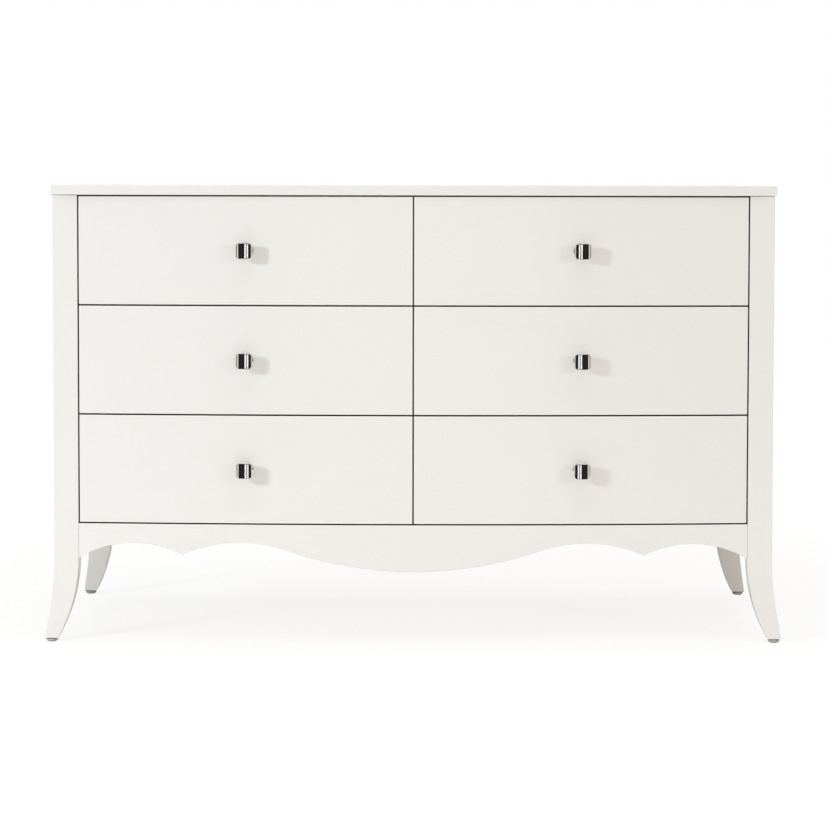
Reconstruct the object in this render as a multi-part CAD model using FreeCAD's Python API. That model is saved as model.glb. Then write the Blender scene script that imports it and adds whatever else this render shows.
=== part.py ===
import FreeCAD, Part
import math
import os

# Double dresser: three rows of two drawers, bowed front, sabre legs, scalloped apron.
# Millimetres.  +X to the right, +Z up, the drawers open towards -Y.
# Everything is drawn in the case's own frame, where y = 0 is the front face of the front posts
# and y grows towards the back.  export() then centres the whole object on x = y = 0.

# ---- overall sizes ----
top_width = 1448.0
overall_height = 915.0
case_depth = 486.0            # front face of the front posts to back face of the rear posts
bow = 22.0                    # how far the middle of the front stands ahead of its ends

# ---- top ----
top_thickness = 20.0
top_side_overhang = 3.5
top_front_overhang = 3.0
top_back_overhang = 3.0

# ---- legs ----
post_width = 49.5
post_depth = 32.0
flare_height = 166.0          # the legs are straight above this height
foot_straight_height = 45.0   # the outer curve ends here and runs on straight
foot_width = 27.0
foot_depth = 25.0
foot_side_splay = 17.0
foot_front_splay = 18.0
glide_height = 8.0
glide_radius = 12.0
glide_rim_radius = 8.5

# ---- case ----
apron_top = 236.8
apron_thickness = 20.0
apron_end_depth = 70.8        # depths of the apron below its top edge
apron_outer_crest_depth = 38.8
apron_cusp_depth = 61.8
apron_inner_crest_depth = 36.5
apron_middle_depth = 93.8
apron_cusp_inset = 209.0      # cusp to post
apron_crest_to_cusp = 115.0   # inner crest to cusp
apron_curve_share = 0.73      # share of the middle wave that the large middle arc takes
panel_thickness = 18.0
side_panel_inset = 3.0        # side panel behind the posts' outer faces
side_panel_bottom = 175.0
partition_thickness = 20.0
partition_front_gap = 1.5     # behind the drawer fronts
floor_thickness = 15.0
floor_drop = 2.8              # case floor below the apron's top edge
rail_thickness = 18.0
front_rail_depth = 40.0
front_rail_setback = 2.0      # behind the back of the drawer fronts
rear_rail_thickness = 20.0
rear_top_rail_height = 60.0
back_panel_thickness = 6.0
back_panel_recess = 10.0      # back panel ahead of the rear posts' back faces
corner_block_leg = 80.0
corner_block_height = 35.0
filler_height = 60.0

# ---- drawers ----
row_names = ["upper", "middle", "lower"]
column_names = ["left", "right"]
gap = 2.4
front_thickness = 20.0
box_lift = 14.0               # underside of the box above the front's lower edge
box_top_drop = 52.0           # top of the box below the front's upper edge
wall_thickness = 13.0
board_thickness = 6.0
board_lift = 12.0             # drawer board above the underside of the box
groove_depth = 6.0
groove_clearance = 0.2
box_rear_clearance = 10.0     # drawer box to the rear rails

# ---- ball-bearing slides ----
slide_thickness = 12.7
slide_height = 35.4
slide_sheet = 1.2
slide_front = 30.0
slide_length_step = 50.0      # slides are made in steps of this length
slide_rear_room = 5.0
travel_share = 0.75
ball_diameter = 4.8
ball_clearance = 0.3
balls_per_row = 4
ball_pitch = 24.0
cage_sheet = 0.8
cage_gap = 0.6
cage_length = 90.0
cage_end_room = 5.0
cage_hole_clearance = 0.1
outer_flange = 10.4

# ---- knobs ----
knob_size = 32.0
knob_corner = 6.5
knob_head = 14.0
knob_crown = 3.0
knob_neck = 14.0
knob_neck_radius = 7.0
knob_base_radius = 17.0
knob_base = 2.5

# ---- screws ----
knob_screw_radius = 2.0
knob_screw_reach = 12.0       # into the knob
knob_screw_head_radius = 4.5
knob_screw_head = 2.6
knob_hole_clearance = 0.25
slide_screw_radius = 1.75
slide_screw_head_radius = 3.4
slide_screw_head = 1.9
cabinet_screw_reach = 8.0
drawer_screw_reach = 9.0
slide_screw_inset = 35.0
cabinet_screw_inset = 14.0
back_screw_head = 1.6
back_screw_reach = 16.0
back_screw_columns = 7
back_screw_inset = 20.0
block_screw_radius = 2.25
block_screw_head_radius = 4.25
block_screw_head = 2.2

# ---- values that follow from the sizes above ----
case_half_width = top_width / 2 - top_side_overhang
opening_half_width = case_half_width - post_width
top_underside = overall_height - top_thickness
front_height = (top_underside - apron_top - gap * (len(row_names) + 1)) / len(row_names)
bow_radius = (opening_half_width ** 2 + bow ** 2) / (2 * bow)
bow_centre_y = bow_radius - bow
side_panel_outer = case_half_width - side_panel_inset
side_panel_inner = side_panel_outer - panel_thickness
floor_top = apron_top - floor_drop
floor_underside = floor_top - floor_thickness
back_panel_front = case_depth - back_panel_recess - back_panel_thickness
rear_rail_front = back_panel_front - rear_rail_thickness
rear_post_front = case_depth - post_depth
box_height = front_height - box_lift - box_top_drop
box_back = rear_rail_front - box_rear_clearance
slide_room = rear_rail_front - slide_rear_room - slide_front
slide_length = slide_length_step * math.floor(slide_room / slide_length_step)
slide_back = slide_front + slide_length
travel = travel_share * slide_length
cage_front = slide_front + cage_end_room + travel / 2
inner_half_height = slide_height / 2 - slide_sheet - ball_diameter - 2 * ball_clearance
ball_height = slide_height / 2 - slide_sheet - ball_clearance - ball_diameter / 2
knob_projection = knob_neck + knob_head
knob_x = (gap / 2 + opening_half_width - gap) / 2
knob_angle = math.degrees(math.asin(knob_x / bow_radius))
front_reach = bow_centre_y - (bow_radius + knob_projection) * math.cos(math.radians(knob_angle))
back_reach = case_depth + foot_front_splay
shift_y = -(min(front_reach, -foot_front_splay) + back_reach) / 2


def vec(x, y, z):
    return FreeCAD.Vector(x, y, z)


def block(x, y, z):
    """A box from three (low, high) pairs."""
    return Part.makeBox(x[1] - x[0], y[1] - y[0], z[1] - z[0], vec(x[0], y[0], z[0]))


def rod(radius, start, end):
    """A round bar from start to end."""
    run = end - start
    return Part.makeCylinder(radius, run.Length, start, run)


def cone(radius_start, radius_end, start, end):
    run = end - start
    return Part.makeCone(radius_start, radius_end, run.Length, start, run)


def mirrored_x(shape):
    return shape.mirror(vec(0, 0, 0), vec(1, 0, 0))


def mirrored_depth(shape):
    """The same shape turned front to back about the middle of the case."""
    return shape.mirror(vec(0, case_depth / 2, 0), vec(0, 1, 0))


def bow_drum(radius):
    """The round drum whose surface is the bowed front, over the whole height."""
    return Part.makeCylinder(radius, overall_height, vec(0, bow_centre_y, 0))


def bow_shell(thickness):
    """A curved sheet just behind the bowed front surface."""
    return bow_drum(bow_radius).cut(bow_drum(bow_radius - thickness))


def around_bow(shape, x):
    """Carry a shape drawn at the middle of the bow round to the place x, square to the surface."""
    angle = math.degrees(math.asin(x / bow_radius))
    turned = shape.copy()
    turned.rotate(vec(0, bow_centre_y, 0), vec(0, 0, 1), angle)
    return turned


# ---- legs ----

def arc_from_upright(x, start_height, end_x, end_height, to_point):
    """An arc that leaves the upright line at x, and bends over to end_x at end_height."""
    drop = start_height - end_height
    offset = end_x - x
    radius = (drop ** 2 + offset ** 2) / (2 * abs(offset))
    half_angle = math.asin(drop / radius) / 2
    side = math.copysign(1, offset)
    middle_x = x + side * radius * (1 - math.cos(half_angle))
    middle_height = start_height - radius * math.sin(half_angle)
    points = [(x, start_height), (middle_x, middle_height), (end_x, end_height)]
    return Part.Arc(*[to_point(*p) for p in points]).toShape()


def leg_profile(inner, outer, foot_inner, foot_outer, to_point):
    """Outline of a leg seen square on; outer and inner are across the leg, outwards positive."""
    straight_run = foot_straight_height - glide_height
    curve_run = flare_height - foot_straight_height
    curve_end = outer + (foot_outer - outer) * curve_run / (curve_run + 2 * straight_run)
    outer_arc = arc_from_upright(outer, flare_height, curve_end, foot_straight_height, to_point)
    inner_arc = arc_from_upright(inner, flare_height, foot_inner, glide_height, to_point)
    top_inner = to_point(inner, top_underside)
    top_outer = to_point(outer, top_underside)
    edges = [
        Part.LineSegment(top_inner, top_outer).toShape(),
        Part.LineSegment(top_outer, to_point(outer, flare_height)).toShape(),
        outer_arc,
        Part.LineSegment(to_point(curve_end, foot_straight_height),
                         to_point(foot_outer, glide_height)).toShape(),
        Part.LineSegment(to_point(foot_outer, glide_height),
                         to_point(foot_inner, glide_height)).toShape(),
        inner_arc,
        Part.LineSegment(to_point(inner, flare_height), top_inner).toShape(),
    ]
    return Part.Face(Part.Wire(Part.__sortEdges__(edges)))


def front_right_leg():
    """One length of wood: square post above, sabre foot that sweeps outwards and forwards."""
    foot_outer = case_half_width + foot_side_splay
    seen_from_front = leg_profile(
        opening_half_width, case_half_width, foot_outer - foot_width, foot_outer,
        lambda across, height: vec(across, -case_depth / 2, height))
    seen_from_side = leg_profile(
        -post_depth, 0, foot_front_splay - foot_depth, foot_front_splay,
        lambda across, height: vec(0, -across, height))
    return seen_from_front.extrude(vec(0, case_depth, 0)).common(
        seen_from_side.extrude(vec(top_width, 0, 0)))


def glide():
    """A domed disc under the front right foot."""
    x = case_half_width + foot_side_splay - foot_width / 2
    y = -foot_front_splay + foot_depth / 2
    half = glide_height / 2
    lower = cone(glide_rim_radius, glide_radius, vec(x, y, 0), vec(x, y, half))
    upper = rod(glide_radius, vec(x, y, half), vec(x, y, glide_height))
    return lower.fuse(upper).removeSplitter()


def four_corners(shape):
    """The shape at the front right, front left, rear right and rear left."""
    front = [shape, mirrored_x(shape)]
    return front + [mirrored_depth(s) for s in front]


# ---- case ----

def top_panel():
    half = top_width / 2
    front = -top_front_overhang
    back = case_depth + top_back_overhang
    corners = [vec(half, front, top_underside), vec(half, back, top_underside),
               vec(-half, back, top_underside), vec(-half, front, top_underside)]
    edges = [Part.LineSegment(corners[i], corners[i + 1]).toShape() for i in range(3)]
    edges.append(Part.Arc(corners[3], vec(0, front - bow, top_underside), corners[0]).toShape())
    return Part.Face(Part.Wire(edges)).extrude(vec(0, 0, top_thickness))


def apron_right_half_edges(point):
    """Lower edge from the post to the middle: outer hollow, cusp, inner hollow, middle wave."""
    end = opening_half_width
    cusp = end - apron_cusp_inset
    crest = cusp - apron_crest_to_cusp
    wave_height = apron_middle_depth - apron_inner_crest_depth
    both_radii = (crest ** 2 + wave_height ** 2) / (2 * wave_height)
    middle_radius = apron_curve_share * both_radii
    crest_radius = both_radii - middle_radius
    meet_x = apron_curve_share * crest
    meet_depth = apron_middle_depth - apron_curve_share * wave_height
    cusp_drop = apron_cusp_depth - apron_inner_crest_depth
    cusp_radius = (apron_crest_to_cusp ** 2 + cusp_drop ** 2) / (2 * cusp_drop)

    def arc_point(radius, centre_x, low_or_high_depth, sign, x):
        """A point of an arc that is level at centre_x; sign +1 where it falls away downwards."""
        sag = radius - math.sqrt(radius ** 2 - (x - centre_x) ** 2)
        return point(x, low_or_high_depth + sign * sag)

    corner_end = point(end, apron_end_depth)
    corner_cusp = point(cusp, apron_cusp_depth)
    corner_crest = point(crest, apron_inner_crest_depth)
    corner_meet = point(meet_x, meet_depth)
    corner_middle = point(0, apron_middle_depth)
    outer_mid = point((end + cusp) / 2, apron_outer_crest_depth)
    cusp_mid = arc_point(cusp_radius, crest, apron_inner_crest_depth, 1, (crest + cusp) / 2)
    crest_mid = arc_point(crest_radius, crest, apron_inner_crest_depth, 1, (crest + meet_x) / 2)
    middle_mid = arc_point(middle_radius, 0, apron_middle_depth, -1, meet_x / 2)
    return [
        Part.Arc(corner_end, outer_mid, corner_cusp).toShape(),
        Part.Arc(corner_cusp, cusp_mid, corner_crest).toShape(),
        Part.Arc(corner_crest, crest_mid, corner_meet).toShape(),
        Part.Arc(corner_meet, middle_mid, corner_middle).toShape(),
    ]


def front_apron():
    end = opening_half_width
    plane_y = -2 * bow
    lower = apron_right_half_edges(lambda x, depth: vec(x, plane_y, apron_top - depth))
    lower += [mirrored_x(edge) for edge in lower]
    end_height = apron_top - apron_end_depth
    upper = [
        Part.LineSegment(vec(end, plane_y, end_height), vec(end, plane_y, apron_top)).toShape(),
        Part.LineSegment(vec(end, plane_y, apron_top), vec(-end, plane_y, apron_top)).toShape(),
        Part.LineSegment(vec(-end, plane_y, apron_top), vec(-end, plane_y, end_height)).toShape(),
    ]
    outline = Part.Face(Part.Wire(Part.__sortEdges__(lower + upper)))
    slab = outline.extrude(vec(0, 4 * bow + apron_thickness, 0))
    return slab.common(bow_shell(apron_thickness))


def side_panel():
    return block((side_panel_inner, side_panel_outer), (post_depth, rear_post_front),
                 (side_panel_bottom, top_underside))


def front_top_rail():
    start = front_thickness + front_rail_setback
    return block((-opening_half_width, opening_half_width), (start, start + front_rail_depth),
                 (top_underside - rail_thickness, top_underside))


def rear_rail(low, high):
    return block((-opening_half_width, opening_half_width),
                 (rear_rail_front, back_panel_front), (low, high))


def back_panel():
    return block((-opening_half_width, opening_half_width),
                 (back_panel_front, back_panel_front + back_panel_thickness),
                 (side_panel_bottom, top_underside))


def center_partition():
    half = partition_thickness / 2
    start = -bow + front_thickness + partition_front_gap
    board = block((-half, half), (start, rear_rail_front), (floor_top, top_underside))
    return board.cut(front_top_rail())


def case_floor(legs):
    """Floor of the case, notched round the posts and shaped to the back of the apron."""
    board = block((-side_panel_inner, side_panel_inner), (-bow, rear_rail_front),
                  (floor_underside, floor_top))
    board = board.common(bow_drum(bow_radius - apron_thickness))
    for leg in legs:
        board = board.cut(leg)
    return board


def corner_block():
    """Triangular block under the case floor, against a post and a side panel."""
    x = side_panel_inner
    low = floor_underside - corner_block_height
    corners = [vec(x, post_depth, low), vec(x, post_depth + corner_block_leg, low),
               vec(x - corner_block_leg, post_depth, low)]
    face = Part.Face(Part.Wire(Part.makePolygon(corners + corners[:1]).Edges))
    return face.extrude(vec(0, 0, corner_block_height))


def block_screw():
    """A screw up through the corner block into the case floor."""
    inset = corner_block_leg / 4
    x = side_panel_inner - inset
    y = post_depth + inset
    low = floor_underside - corner_block_height
    high = floor_top - floor_thickness / 4
    head = rod(block_screw_head_radius, vec(x, y, low), vec(x, y, low + block_screw_head))
    return head.fuse(rod(block_screw_radius, vec(x, y, low), vec(x, y, high))).removeSplitter()


def back_screws():
    """Screws through the back panel into the rear rails, in two level rows."""
    screws = []
    start = -opening_half_width + back_screw_inset
    step = 2 * -start / (back_screw_columns - 1)
    heights = [top_underside - rear_top_rail_height / 2,
               (side_panel_bottom + apron_top) / 2]
    face = back_panel_front + back_panel_thickness
    for height in heights:
        for column in range(back_screw_columns):
            x = start + step * column
            head = rod(slide_screw_head_radius, vec(x, face - back_screw_head, height),
                       vec(x, face, height))
            shank = rod(slide_screw_radius, vec(x, face - back_screw_reach, height),
                        vec(x, face, height))
            screws.append(head.fuse(shank).removeSplitter())
    return screws


# ---- slides, drawn for a cabinet face at x = 0 that looks towards +X, centred on z = 0 ----

def channel(web_x, flange_x, half_height, start, end, sheet):
    """A pressed channel: an upright web and two level flanges."""
    high = half_height
    low = half_height - sheet
    web = block(web_x, (start, end), (-high, high))
    upper = block(flange_x, (start, end), (low, high))
    lower = block(flange_x, (start, end), (-high, -low))
    return web.fuse(upper).fuse(lower).removeSplitter()


def cabinet_member():
    return channel((0, slide_sheet), (0, outer_flange), slide_height / 2,
                   slide_front, slide_back, slide_sheet)


def drawer_member():
    cage_web_end = slide_sheet + cage_gap + cage_sheet
    return channel((slide_thickness - slide_sheet, slide_thickness),
                   (cage_web_end + cage_gap, slide_thickness), inner_half_height,
                   slide_front, slide_back, slide_sheet)


def ball_places():
    x = (slide_sheet + cage_gap + outer_flange) / 2
    start = cage_front + (cage_length - ball_pitch * (balls_per_row - 1)) / 2
    return [vec(x, start + ball_pitch * i, side * ball_height)
            for i in range(balls_per_row) for side in (-1, 1)]


def ball_cage():
    """A thin channel with a hole for each ball, and the balls in it."""
    start_x = slide_sheet + cage_gap
    cage = channel((start_x, start_x + cage_sheet), (start_x, outer_flange - cage_sheet),
                   ball_height + cage_sheet / 2, cage_front, cage_front + cage_length, cage_sheet)
    hole_radius = ball_diameter / 2 + cage_hole_clearance
    for place in ball_places():
        cage = cage.cut(rod(hole_radius, place - vec(0, 0, cage_sheet),
                            place + vec(0, 0, cage_sheet)))
    balls = [Part.makeSphere(ball_diameter / 2, place) for place in ball_places()]
    return [cage] + balls


def cabinet_screws():
    """Countersunk screws that hold a cabinet member, flush with its web."""
    screws = []
    for y in (slide_front + cabinet_screw_inset, slide_back - slide_screw_inset):
        tip = vec(-cabinet_screw_reach, y, 0)
        neck = vec(slide_sheet - slide_screw_head, y, 0)
        face = vec(slide_sheet, y, 0)
        head = cone(slide_screw_radius, slide_screw_head_radius, neck, face)
        screws.append(head.fuse(rod(slide_screw_radius, tip, neck)).removeSplitter())
    return screws


def drawer_member_screws():
    """Round-headed screws that hold a drawer member to the drawer side."""
    screws = []
    web = slide_thickness - slide_sheet
    for y in (slide_front + slide_screw_inset, slide_back - slide_screw_inset):
        head = rod(slide_screw_head_radius, vec(web - slide_screw_head, y, 0), vec(web, y, 0))
        shank = rod(slide_screw_radius, vec(web, y, 0),
                    vec(slide_thickness + drawer_screw_reach, y, 0))
        screws.append(head.fuse(shank).removeSplitter())
    return screws


def slide_places(side, height):
    """Functions that put a slide piece at the two faces of one drawer's space."""
    def at_partition(shape):
        moved = shape.copy()
        moved.translate(vec(partition_thickness / 2, 0, height))
        return moved if side > 0 else mirrored_x(moved)

    def at_side(shape):
        moved = mirrored_x(shape)
        moved.translate(vec(opening_half_width, 0, height))
        return moved if side > 0 else mirrored_x(moved)

    return [at_partition, at_side]


def slide_filler(side, height):
    """Packing between the side panel and the slide, flush with the posts' inner edges."""
    filler = block((opening_half_width, side_panel_inner), (post_depth, rear_post_front),
                   (height - filler_height / 2, height + filler_height / 2))
    return filler if side > 0 else mirrored_x(filler)


# ---- drawers ----

def knob():
    """Square crowned head with rounded corners on a round neck, at the middle of the bow."""
    half = knob_size / 2
    face_y = -bow - knob_projection
    head = block((-half, half), (face_y, face_y + knob_head), (-half, half))
    long_edges = [e for e in head.Edges if abs(e.tangentAt(e.FirstParameter).y) > 0.9]
    head = head.makeFillet(knob_corner, long_edges)
    crown_radius = (half ** 2 + knob_crown ** 2) / (2 * knob_crown)
    crown = Part.makeCylinder(crown_radius, knob_size, vec(0, face_y + crown_radius, -half))
    head = head.common(crown)
    neck = rod(knob_neck_radius, vec(0, face_y + knob_head, 0), vec(0, -bow + 1, 0))
    base = rod(knob_base_radius, vec(0, -bow - knob_base, 0), vec(0, -bow + 1, 0))
    bore = rod(knob_screw_radius, vec(0, -bow - knob_screw_reach, 0), vec(0, -bow + 1, 0))
    drum = Part.makeCylinder(bow_radius, 2 * knob_base_radius, vec(0, bow_centre_y, -knob_base_radius))
    return head.fuse(neck).fuse(base).removeSplitter().cut(drum).cut(bore)


def knob_screw():
    """Screw through the drawer front into the knob, at the middle of the bow."""
    seat = -bow + front_thickness
    shank = rod(knob_screw_radius, vec(0, -bow - knob_screw_reach, 0), vec(0, seat, 0))
    head = rod(knob_screw_head_radius, vec(0, seat - 1, 0), vec(0, seat + knob_screw_head, 0))
    half = knob_size / 2
    shell = Part.makeCylinder(bow_radius, knob_size, vec(0, bow_centre_y, -half)).cut(
        Part.makeCylinder(bow_radius - front_thickness, knob_size, vec(0, bow_centre_y, -half)))
    return head.cut(shell).fuse(shank).removeSplitter()


def knob_hole():
    return rod(knob_screw_radius + knob_hole_clearance, vec(0, -bow - 1, 0),
               vec(0, -bow + front_thickness + 1, 0))


def drawer(side, front_low):
    """The pieces of one drawer on the right-hand side, mirrored when side is negative."""
    front_high = front_low + front_height
    middle = front_low + front_height / 2
    box_low = front_low + box_lift
    box_high = box_low + box_height
    slide_z = box_low + box_height / 2
    box_x = (partition_thickness / 2 + slide_thickness, opening_half_width - slide_thickness)
    inner_x = (box_x[0] + wall_thickness, box_x[1] - wall_thickness)
    board_z = (box_low + board_lift, box_low + board_lift + board_thickness)

    drum = bow_drum(bow_radius - front_thickness)
    board = block((inner_x[0] - groove_depth, inner_x[1] + groove_depth), (-bow, box_back),
                  board_z)
    board = board.common(bow_drum(bow_radius - front_thickness + groove_depth))
    loose = groove_clearance
    groove = block((inner_x[0] - groove_depth - loose, inner_x[1] + groove_depth + loose),
                   (-bow, box_back + loose), (board_z[0] - loose, board_z[1] + loose))
    groove = groove.common(bow_drum(bow_radius - front_thickness + groove_depth + loose))

    front = block((gap / 2, opening_half_width - gap), (-2 * bow, 2 * bow + front_thickness),
                  (front_low, front_high)).common(bow_shell(front_thickness))
    lifted_hole = knob_hole()
    lifted_hole.translate(vec(0, 0, middle))
    front = front.cut(around_bow(lifted_hole, knob_x)).cut(groove)

    sides = [block((box_x[0], inner_x[0]), (-bow, box_back), (box_low, box_high)),
             block((inner_x[1], box_x[1]), (-bow, box_back), (box_low, box_high))]
    sides = [s.common(drum).cut(groove) for s in sides]
    back = block(inner_x, (box_back - wall_thickness, box_back), (board_z[1] + loose, box_high))

    screws = []
    members = []
    cages = []
    for place in slide_places(1, slide_z):
        members.append(place(drawer_member()))
        cages += [place(piece) for piece in ball_cage()]
        screws += [place(screw) for screw in drawer_member_screws()]
    for screw in screws:
        sides = [s.cut(screw) for s in sides]
        members = [m.cut(screw) for m in members]

    lifted = []
    for shape in (knob(), knob_screw()):
        shape.translate(vec(0, 0, middle))
        lifted.append(around_bow(shape, knob_x))
    pieces = {
        "drawer_front": [front],
        "drawer_box": sides + [back],
        "drawer_board": [board],
        "drawer_knob": [lifted[0]],
        "drawer_screws": screws + [lifted[1]],
        "drawer_slides": members,
        "ball_cages": cages,
    }
    if side < 0:
        pieces = {name: [mirrored_x(s) for s in shapes] for name, shapes in pieces.items()}
    return pieces


# ---- whole object ----

def build():
    nodes = {}
    legs = four_corners(front_right_leg())
    leg_names = ["front_leg_right", "front_leg_left", "rear_leg_right", "rear_leg_left"]
    for name, leg in zip(leg_names, legs):
        nodes[name] = [leg]
    nodes["foot_glides"] = four_corners(glide())
    nodes["top_panel"] = [top_panel()]
    nodes["front_apron"] = [front_apron()]
    nodes["side_panel_right"] = [side_panel()]
    nodes["side_panel_left"] = [mirrored_x(side_panel())]
    nodes["top_rails"] = [front_top_rail(),
                          rear_rail(top_underside - rear_top_rail_height, top_underside)]
    lower_rail = rear_rail(side_panel_bottom, apron_top)

    partition = center_partition()
    floor = case_floor(legs)
    blocks = [corner.cut(lower_rail) for corner in four_corners(corner_block())]
    screws = four_corners(block_screw())
    for screw in screws:
        floor = floor.cut(screw)
        blocks = [b.cut(screw) for b in blocks]

    back = back_panel()
    rails = nodes["top_rails"] + [lower_rail]
    for screw in back_screws():
        back = back.cut(screw)
        rails = [r.cut(screw) for r in rails]
        screws.append(screw)
    nodes["top_rails"] = rails[:2]
    nodes["rear_bottom_rail"] = rails[2:]
    nodes["back_panel"] = [back]

    fillers = []
    members = []
    for row, row_name in enumerate(row_names):
        front_low = top_underside - (row + 1) * (front_height + gap)
        slide_z = front_low + box_lift + box_height / 2
        for side, column_name in ((-1, "left"), (1, "right")):
            for kind, shapes in drawer(side, front_low).items():
                nodes[f"{kind}_{row_name}_{column_name}"] = shapes
            filler = slide_filler(side, slide_z)
            for place in slide_places(side, slide_z):
                member = place(cabinet_member())
                for screw in [place(s) for s in cabinet_screws()]:
                    member = member.cut(screw)
                    filler = filler.cut(screw)
                    partition = partition.cut(screw)
                    screws.append(screw)
                members.append(member)
            fillers.append(filler)
    nodes["center_partition"] = [partition]
    nodes["case_floor"] = [floor]
    nodes["corner_blocks"] = blocks
    nodes["slide_fillers"] = fillers
    nodes["cabinet_slides"] = members
    nodes["case_screws"] = screws
    return nodes


def export(nodes):
    os.makedirs("parts", exist_ok=True)
    for name, shapes in nodes.items():
        moved = []
        for shape in shapes:
            for solid in shape.Solids:
                solid.translate(vec(0, shift_y, 0))
                moved.append(solid)
        whole = moved[0] if len(moved) == 1 else Part.makeCompound(moved)
        whole.exportStep(os.path.join("parts", name + ".step"))
    print(f"{len(nodes)} nodes, slide travel {travel:.0f} mm, shift {shift_y:.2f} mm")


export(build())
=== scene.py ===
import math

import bmesh
import bpy
import numpy as np
from mathutils import Matrix, Vector


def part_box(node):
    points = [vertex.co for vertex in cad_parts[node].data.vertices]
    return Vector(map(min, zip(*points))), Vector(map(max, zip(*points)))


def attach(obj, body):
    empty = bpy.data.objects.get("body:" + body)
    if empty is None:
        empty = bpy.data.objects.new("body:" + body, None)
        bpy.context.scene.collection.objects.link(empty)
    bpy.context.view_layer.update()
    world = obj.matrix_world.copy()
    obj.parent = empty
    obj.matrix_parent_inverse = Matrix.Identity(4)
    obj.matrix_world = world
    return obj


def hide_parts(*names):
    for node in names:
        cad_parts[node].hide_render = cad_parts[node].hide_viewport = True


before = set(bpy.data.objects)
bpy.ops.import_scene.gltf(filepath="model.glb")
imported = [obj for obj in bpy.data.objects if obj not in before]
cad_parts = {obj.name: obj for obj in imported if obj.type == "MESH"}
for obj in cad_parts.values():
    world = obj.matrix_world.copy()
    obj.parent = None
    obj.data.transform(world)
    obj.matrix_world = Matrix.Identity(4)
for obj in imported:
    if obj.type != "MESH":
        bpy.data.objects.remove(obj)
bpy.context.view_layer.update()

scene = bpy.context.scene

# places taken from the frame
topLow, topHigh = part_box("top_panel")
apronLow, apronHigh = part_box("front_apron")

caseSet = {
    "bow": 0.022,           # how far the middle of the front stands ahead of its ends
    "frontThickness": 0.020,
    "apronThickness": 0.020,
}
openingHalf = apronHigh.x   # inner edges of the front posts
bowRadius = (openingHalf ** 2 + caseSet["bow"] ** 2) / (2 * caseSet["bow"])
bowCentreY = apronLow.y + bowRadius


def bowY(x, inset=0.0):
    # the bowed front surface, or a sheet set in behind it
    return bowCentreY - math.sqrt((bowRadius - inset) ** 2 - x * x)


def aroundBow(point, x):
    # carries a point drawn at the middle of the bow round to x, square to the surface
    angle = math.asin(x / bowRadius)
    turn = Matrix.Rotation(angle, 4, "Z")
    centre = Vector((0, bowCentreY, 0))
    return turn @ (Vector(point) - centre) + centre


def newGroup(name, inputs, outputs):
    # inputs: (name, kind, default); outputs: (name, kind)
    tree = bpy.data.node_groups.new(name, "ShaderNodeTree")
    for label, kind, value in inputs:
        socket = tree.interface.new_socket(label, in_out="INPUT", socket_type=kind)
        if value is not None:
            socket.default_value = value
    for label, kind in outputs:
        tree.interface.new_socket(label, in_out="OUTPUT", socket_type=kind)
    return tree, tree.nodes.new("NodeGroupInput"), tree.nodes.new("NodeGroupOutput")


def addNode(tree, kind, **settings):
    node = tree.nodes.new(kind)
    for key, value in settings.items():
        setattr(node, key, value)
    return node


def setInputs(node, **values):
    for key, value in values.items():
        node.inputs[key].default_value = value
    return node


def mapRange(tree, value, low, high, toLow, toHigh):
    node = addNode(tree, "ShaderNodeMapRange")
    tree.links.new(value, node.inputs["Value"])
    for key, number in (("From Min", low), ("From Max", high), ("To Min", toLow), ("To Max", toHigh)):
        node.inputs[key].default_value = number
    return node.outputs["Result"]


def mixColor(tree, factor, first, second, blend="MIX"):
    node = addNode(tree, "ShaderNodeMix", data_type="RGBA", blend_type=blend)
    for socket, value in ((node.inputs[0], factor), (node.inputs[6], first), (node.inputs[7], second)):
        if isinstance(value, bpy.types.NodeSocket):
            tree.links.new(value, socket)
        else:
            socket.default_value = value
    return node.outputs[2]


def doMath(tree, operation, first, second=0.0):
    node = addNode(tree, "ShaderNodeMath", operation=operation)
    for socket, value in ((node.inputs[0], first), (node.inputs[1], second)):
        if isinstance(value, bpy.types.NodeSocket):
            tree.links.new(value, socket)
        else:
            socket.default_value = value
    return node.outputs[0]


def noiseOut(tree, vector, scale, detail=2.0, roughness=0.5):
    node = addNode(tree, "ShaderNodeTexNoise")
    setInputs(node, Scale=scale, Detail=detail, Roughness=roughness)
    tree.links.new(vector, node.inputs["Vector"])
    return node.outputs["Fac"]


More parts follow.
